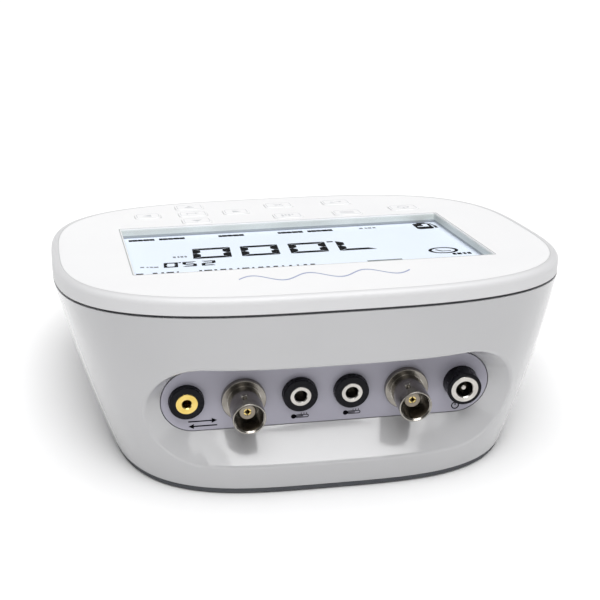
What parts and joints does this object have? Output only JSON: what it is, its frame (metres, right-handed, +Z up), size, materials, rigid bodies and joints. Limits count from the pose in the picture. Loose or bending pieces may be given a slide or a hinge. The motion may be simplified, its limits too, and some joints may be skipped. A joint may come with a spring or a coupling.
{
  "type": "benchtop water quality meter",
  "caption": "Tapered bench-top water quality meter with sloping display deck, membrane keys and a recessed rear socket panel for probes.",
  "frame": {"origin": "on the bench, under the middle of the housing", "axes": "+Z up, -Y towards the user and the keypad, +Y towards the rear sockets, +X to the user's right"},
  "size_m": [0.155, 0.15, 0.0667],
  "materials": {
    "white_abs": "satin moulded ABS",
    "grey_seal": "matte",
    "grey_base": "matte",
    "rubber": "matte",
    "steel": "bright zinc",
    "overlay_film": "fine matte polyester film",
    "key_film": "fine matte polyester film",
    "clear_lens": "clear acrylic",
    "lcd": "polarised display glass",
    "black_plastic": "satin moulded",
    "pcb": "solder mask",
    "nickel": "nickel plate",
    "panel_grey": "fine matte",
    "tin": "tinned sheet",
    "gold": "gold plate",
    "ivory_plastic": "smooth"
  },
  "bodies": {
    "chassis": {"top_cover": "white_abs", "main_body": "white_abs", "seal_gasket": "grey_seal", "base_plate": "grey_base", "rubber_feet": "rubber", "case_screws": "steel", "front_overlay": "overlay_film", "display_window": "clear_lens", "lcd_glass": "lcd", "lcd_frame": "black_plastic", "backlight_guide": "clear_lens", "zebra_strips": "rubber", "display_board": "pcb", "board_screws": "steel", "key_domes": "steel", "display_chips": "black_plastic", "buzzer": "black_plastic", "cell_holder": "black_plastic", "coin_cell": "nickel", "connector_panel": "panel_grey", "power_socket_pin": "nickel", "socket_board": "pcb", "shield_can": "tin", "amplifier_chip": "black_plastic", "ribbon_headers": "ivory_plastic", "ribbon_cable": "ivory_plastic", "serial_socket_housing": "black_plastic", "serial_socket_sleeve": "gold", "temp_socket_1_housing": "black_plastic", "temp_socket_1_sleeve": "nickel", "temp_socket_2_housing": "black_plastic", "temp_socket_2_sleeve": "nickel", "power_socket_housing": "black_plastic", "power_socket_sleeve": "nickel", "bnc_shell_1": "nickel", "bnc_insulator_1": "ivory_plastic", "bnc_contact_1": "gold", "bnc_nut_1": "nickel", "bnc_shell_2": "nickel", "bnc_insulator_2": "ivory_plastic", "bnc_contact_2": "gold", "bnc_nut_2": "nickel"},
    "key_power": {"key_power": "key_film"},
    "key_mode": {"key_mode": "key_film"},
    "key_calibrate": {"key_calibrate": "key_film"},
    "key_data": {"key_data": "key_film"},
    "key_escape": {"key_escape": "key_film"},
    "key_left": {"key_left": "key_film"},
    "key_enter": {"key_enter": "key_film"},
    "key_right": {"key_right": "key_film"},
    "key_up": {"key_up": "key_film"},
    "key_down": {"key_down": "key_film"}
  },
  "joints": [
    {"name": "key_power_press", "type": "slide", "parent": "chassis", "child": "key_power", "axis": [0, 0.1908, -0.9816], "range_m": [0, 0.0003], "stiffness_N_per_m": 60, "deforming": ["key_domes"]},
    {"name": "key_mode_press", "type": "slide", "parent": "chassis", "child": "key_mode", "axis": [0, 0.1908, -0.9816], "range_m": [0, 0.0003], "stiffness_N_per_m": 60, "deforming": ["key_domes"]},
    {"name": "key_calibrate_press", "type": "slide", "parent": "chassis", "child": "key_calibrate", "axis": [0, 0.1908, -0.9816], "range_m": [0, 0.0003], "stiffness_N_per_m": 60, "deforming": ["key_domes"]},
    {"name": "key_data_press", "type": "slide", "parent": "chassis", "child": "key_data", "axis": [0, 0.1908, -0.9816], "range_m": [0, 0.0003], "stiffness_N_per_m": 60, "deforming": ["key_domes"]},
    {"name": "key_escape_press", "type": "slide", "parent": "chassis", "child": "key_escape", "axis": [0, 0.1908, -0.9816], "range_m": [0, 0.0003], "stiffness_N_per_m": 60, "deforming": ["key_domes"]},
    {"name": "key_left_press", "type": "slide", "parent": "chassis", "child": "key_left", "axis": [0, 0.1908, -0.9816], "range_m": [0, 0.0003], "stiffness_N_per_m": 60, "deforming": ["key_domes"]},
    {"name": "key_enter_press", "type": "slide", "parent": "chassis", "child": "key_enter", "axis": [0, 0.1908, -0.9816], "range_m": [0, 0.0003], "stiffness_N_per_m": 60, "deforming": ["key_domes"]},
    {"name": "key_right_press", "type": "slide", "parent": "chassis", "child": "key_right", "axis": [0, 0.1908, -0.9816], "range_m": [0, 0.0003], "stiffness_N_per_m": 60, "deforming": ["key_domes"]},
    {"name": "key_up_press", "type": "slide", "parent": "chassis", "child": "key_up", "axis": [0, 0.1908, -0.9816], "range_m": [0, 0.0003], "stiffness_N_per_m": 60, "deforming": ["key_domes"]},
    {"name": "key_down_press", "type": "slide", "parent": "chassis", "child": "key_down", "axis": [0, 0.1908, -0.9816], "range_m": [0, 0.0003], "stiffness_N_per_m": 60, "deforming": ["key_domes"]}
  ]
}
